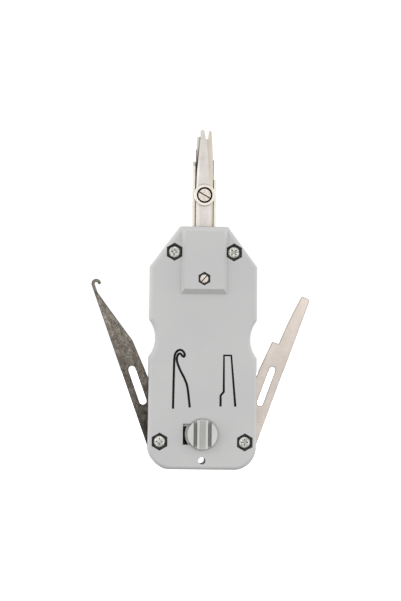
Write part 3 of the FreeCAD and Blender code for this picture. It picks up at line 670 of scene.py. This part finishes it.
fork = {
    # the flat facet's edges in mm, each from the foot to the prongs
    "leftCrease": [(-1.95, 112.0), (-2.6, 134.0), (-3.35, 146.0), (-2.75, 158.0), (-2.0, 168.0)],
    "rightCrease": [(3.5, 112.0), (3.5, 134.0), (2.6, 146.0), (1.75, 160.0), (0.75, 171.0)],
    "leftFall": 0.55,  # how far each flank falls back for each mm outside its crease
    "rightFall": 0.5,
    "flat": -5.0,
    "side": -4.0,  # the flanks end no deeper than this
    "notchRadius": 4.9,
    # outlines of the foot and of the blade with its two prongs, each open where the notch closes it
    "foot": [(-6.05, 111.0), (6.05, 111.0), (6.05, 121.5), (4.4, 124.5)],
    "footLeft": [(-4.4, 124.5), (-6.05, 121.5)],
    "prongs": [(4.45, 152.0), (4.35, 161.2), (3.75, 169.6), (3.35, 175.9), (3.0, 176.5), (2.2, 176.5),
               (1.95, 176.0), (1.6, 172.3), (0.3, 172.1), (-0.35, 176.2), (-0.8, 176.9), (-1.9, 176.9),
               (-2.4, 176.3), (-2.45, 172.7), (-4.05, 155.2)],
    "bossOuter": 5.6,
    "bossBore": 4.1,
    "shankHole": 1.9,
    "recessFloor": -4.6,
}


def creaseX(line, z):
    for (xa, za), (xb, zb) in zip(line, line[1:]):
        if z <= zb:
            return xa + (xb - xa) * (max(z, za) - za) / (zb - za)
    return line[-1][0]


def forkFront(x, z):
    left = (creaseX(fork["leftCrease"], z) - x) * fork["leftFall"]
    right = (x - creaseX(fork["rightCrease"], z)) * fork["rightFall"]
    return min(fork["flat"] + max(0.0, left, right), fork["side"])


def makeFork():
    low, high = boxMm("fork_plate")
    pivotZ = joints["cutter_swing"]["pos_m"][2] / mm
    rear, bossFront = high.y, low.y
    notch = fork["notchRadius"]
    # below and above the screw, both ending under the boss ring
    foot = fork["foot"] + arcPoints(0, pivotZ, notch, -26, -154, 24) + fork["footLeft"]
    blade = arcPoints(0, pivotZ, notch, 154, 26, 24) + fork["prongs"]
    lines = (fork["leftCrease"], fork["rightCrease"])
    inFoot = [[p for p in line if p[1] < pivotZ - 5] for line in lines]
    inBlade = [[p for p in line if p[1] > pivotZ] for line in lines]
    for name, outline, creases in (("forkFoot", foot, inFoot), ("forkBlade", blade, inBlade)):
        piece = plateMesh(name, outline, creases, forkFront, rear, nickelSteel)
        # the right flank gets a darker tone: a painted reflection
        paintFaces(piece, facetSteel, lambda p, n: n.y < -0.2 and p.x > creaseX(fork["rightCrease"], p.z))
        place(piece, "head", "head_steel", *(["fork_plate"] if name == "forkBlade" else []))
    # turned boss around the screw head: wall with a small cone, flat rim, recess and its floor
    outer, bore, hole, floorY = (fork[key] for key in ("bossOuter", "bossBore", "shankHole", "recessFloor"))
    rim = [(bore + 0.02, rear), (outer, rear), (outer, bossFront + 0.25), (outer - 0.25, bossFront),
           (bore + 0.2, bossFront), (bore + 0.02, bossFront + 0.15)]
    recess = [(hole, rear), (bore, rear), (bore, -5.9), (bore - 0.1, -5.9), (bore - 0.1, floorY),
              (hole, floorY)]
    # the rim is brighter, a painted highlight, and the recess almost black, painted shade
    for name, rows, material in (("forkBoss", rim, rimSteel), ("forkRecess", recess, shadeBlackSteel)):
        loops = [circlePoints(0, pivotZ, radius, y, 72) for radius, y in rows]
        ring = bmesh.new()
        loft(ring, loops + [loops[0]], close=False)
        place(meshPiece(name, ring, material, 30), "head", "head_steel")


makeFork()
# the channel is brighter than the fork: a painted highlight
softCopy("head_channel", "headChannel", 0.2, channelSteel, "head", "head_steel")
# the insertion blade darkens towards its foot: painted shade
softCopy("insertion_blade", "insertionBlade", 0.1, insertionSteel, "head", "head_steel")
pivotScrew = {"radius": 3.42, "halfSlot": 0.32, "slotDepth": 0.85, "edge": 0.22, "shank": 1.98, "turn": 30,
              "top": -5.95, "seat": -4.6, "tip": 7.2}
makeSlottedScrew("pivot_screw", "pivotScrew", "head", joints["cutter_swing"]["pos_m"][2] / mm, warmZinc,
                 pivotScrew)
softCopy("pivot_nut", "pivotNut", 0.15, zincPlate, "head", "zinc_steel")
softCopy("cutter_blade", "cutterBlade", 0.1, bladeSteel, "cutter", "cutter_steel")
print("head made")


# ---- folding blades

# darker cut edges and darker feet on both blades: painted shade
softCopy("hook_blade", "hookBlade", 0.3, hookSteel, "hook", "hook_steel", 1, hookEdge)
softCopy("removal_blade", "removalBlade", 0.28, removalSteel, "removal", "removal_steel", 1, removalEdge)
print("blades made")


# ---- main spring, wound from round wire

spring = {"radius": 3.9, "wire": 0.55, "turns": 9, "perTurn": 28}


def springTree():
    tree, group, sockets = startTree("woundSpring", {
        "Radius": ("NodeSocketFloat", 0.004), "Wire": ("NodeSocketFloat", 0.0005),
        "Turns": ("NodeSocketFloat", 9.0), "Height": ("NodeSocketFloat", 0.03)})
    helix = addNode(tree, "GeometryNodeCurveSpiral", None, {
        "Resolution": spring["perTurn"], "Rotations": group.outputs["Turns"],
        "Start Radius": group.outputs["Radius"], "End Radius": group.outputs["Radius"],
        "Height": group.outputs["Height"]})
    wire = addNode(tree, "GeometryNodeCurvePrimitiveCircle", None, {
        "Resolution": 12, "Radius": group.outputs["Wire"]})
    swept = addNode(tree, "GeometryNodeCurveToMesh", None, {
        "Curve": helix.outputs[0], "Profile Curve": wire.outputs[0], "Fill Caps": True})
    finishTree(tree, swept.outputs[0], springWire)
    return tree, sockets


def makeSpring():
    low, high = boxMm("main_spring")
    piece = link(bpy.data.objects.new("mainSpring", bpy.data.meshes.new("mainSpring")))
    tree, sockets = springTree()
    runTree(piece, tree, sockets, {
        "Radius": spring["radius"] * mm, "Wire": spring["wire"] * mm, "Turns": float(spring["turns"]),
        "Height": (high.z - low.z - 2 * spring["wire"]) * mm}, 60)
    piece.data.transform(Matrix.Translation((0, 0, (low.z + spring["wire"]) * mm)))
    place(piece, "handle", "spring_steel", "main_spring")
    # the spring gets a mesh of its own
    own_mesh(piece)
    return piece


makeSpring()


# ---- finishes of the CAD pieces that keep their own shape

cadFinishes = {
    "shell_nuts": zincPlate, "blade_bushes": zincPlate, "blade_washers": zincPlate,
    "cam_sleeve": bladeSteel, "cam_nut": zincPlate, "head_spacer": nickelSteel, "slide_block": blackPlastic,
    "block_rivets": zincPlate, "guide_rod": zincPlate, "spring_washer": zincPlate,
    "knob_washer": zincPlate, "knob_screw": zincPlate,
}
for name, material in cadFinishes.items():
    slots = cadNodes[name].data.materials
    slots.clear()
    slots.append(material)
print("inner parts finished")


# ---- floor, light and camera

stage = {
    "floorSize": 6000,
    "cameraTurn": -2.6,  # the camera stands a little to the left of the tool's front
    "roll": 0.68,  # the tool leans to the right in the frame by this much
    "lens": 250,
    "aim": (-1.77, -11.5, 88.0),
    "frameHeight": 312.5,
    "skyLevel": 1.0,
    "skyAbove": 0.4,
    "skyFall": -0.71,
    "skySides": 0.36,
}


def makeFloor():
    bm = bmesh.new()
    half = stage["floorSize"] / 2
    corners = [(-half, -half), (half, -half), (half, half), (-half, half)]
    bm.faces.new([bm.verts.new(Vector((x, y, -0.02)) * mm) for x, y in corners])
    material, _, shader, _ = startMaterial("paintedFloor")
    shader.inputs["Base Color"].default_value = linear("#f4f4f4")
    shader.inputs["Emission Color"].default_value = (1, 1, 1, 1)
    shader.inputs["Emission Strength"].default_value = 0.7
    shader.inputs["Roughness"].default_value = 0.9
    shader.inputs["Specular IOR Level"].default_value = 0.1
    floor = meshPiece("floor", bm, material)
    floor.visible_diffuse = False  # the sky alone lights the tool from below
    floor.visible_glossy = False
    floor.visible_shadow = False


def makeWorld():
    # the camera sees white; the tool is lit by a band of soft boxes all round at its own height, brighter at
    # the sides, with a weak light above and almost none below
    world = bpy.data.worlds.new("studio")
    bpy.context.scene.world = world
    world.use_nodes = True
    tree = world.node_tree
    tree.nodes.clear()
    direction = addNode(tree, "ShaderNodeTexCoord").outputs["Generated"]
    parts = addNode(tree, "ShaderNodeSeparateXYZ", None, {"Vector": direction})
    level = stage["skyLevel"]
    for axis, power, share in (("Z", 1, "skyAbove"), ("Z", 2, "skyFall"), ("X", 2, "skySides")):
        term = addNode(tree, "ShaderNodeMath", {"operation": "MULTIPLY"}, {
            0: parts.outputs[axis], 1: parts.outputs[axis] if power == 2 else 1.0})
        level = addNode(tree, "ShaderNodeMath", {"operation": "MULTIPLY_ADD"}, {
            0: term.outputs[0], 1: stage[share], 2: level}).outputs[0]
    level = addNode(tree, "ShaderNodeMath", {"operation": "MAXIMUM"}, {0: level, 1: 0.02}).outputs[0]
    sky = addNode(tree, "ShaderNodeBackground", None, {"Color": (1, 1, 1, 1), "Strength": level})
    white = addNode(tree, "ShaderNodeBackground", None, {"Color": (1, 1, 1, 1), "Strength": 1.05})
    seen = addNode(tree, "ShaderNodeLightPath").outputs["Is Camera Ray"]
    both = addNode(tree, "ShaderNodeMixShader", None, {0: seen, 1: sky.outputs[0], 2: white.outputs[0]})
    addNode(tree, "ShaderNodeOutputWorld", None, {"Surface": both.outputs[0]})


def addLight(name, size, power, position, target):
    data = bpy.data.lights.new(name, "AREA")
    data.shape = "DISK"
    data.size = size
    data.energy = power
    light = link(bpy.data.objects.new(name, data))
    light.location = position
    light.rotation_euler = (Vector(target) - Vector(position)).to_track_quat("-Z", "Y").to_euler()


def makeCamera():
    data = bpy.data.cameras.new("camera")
    data.lens = stage["lens"]
    data.clip_end = 50
    distance = stage["lens"] / data.sensor_width * stage["frameHeight"]
    turn, roll = math.radians(stage["cameraTurn"]), math.radians(stage["roll"])
    aim = Vector(stage["aim"])
    forward = Vector((-math.sin(turn), math.cos(turn), 0))
    side = Vector((math.cos(turn), math.sin(turn), 0))
    up = Vector((0, 0, 1)) * math.cos(roll) - side * math.sin(roll)
    right = forward.cross(up)
    camera = link(bpy.data.objects.new("camera", data))
    turnMatrix = Matrix((right, up, -forward)).transposed().to_4x4()
    camera.matrix_world = Matrix.Translation((aim - forward * distance) * mm) @ turnMatrix
    bpy.context.scene.camera = camera


makeFloor()
makeWorld()
addLight("keyLight", 1.2, 1.2, (-1.1, -1.6, 1.7), (0, 0, 0.09))
addLight("fillLight", 1.4, 0.6, (1.5, -1.4, 0.9), (0, 0, 0.09))
makeCamera()
bpy.context.scene.view_settings.view_transform = "Standard"
print("stage set")
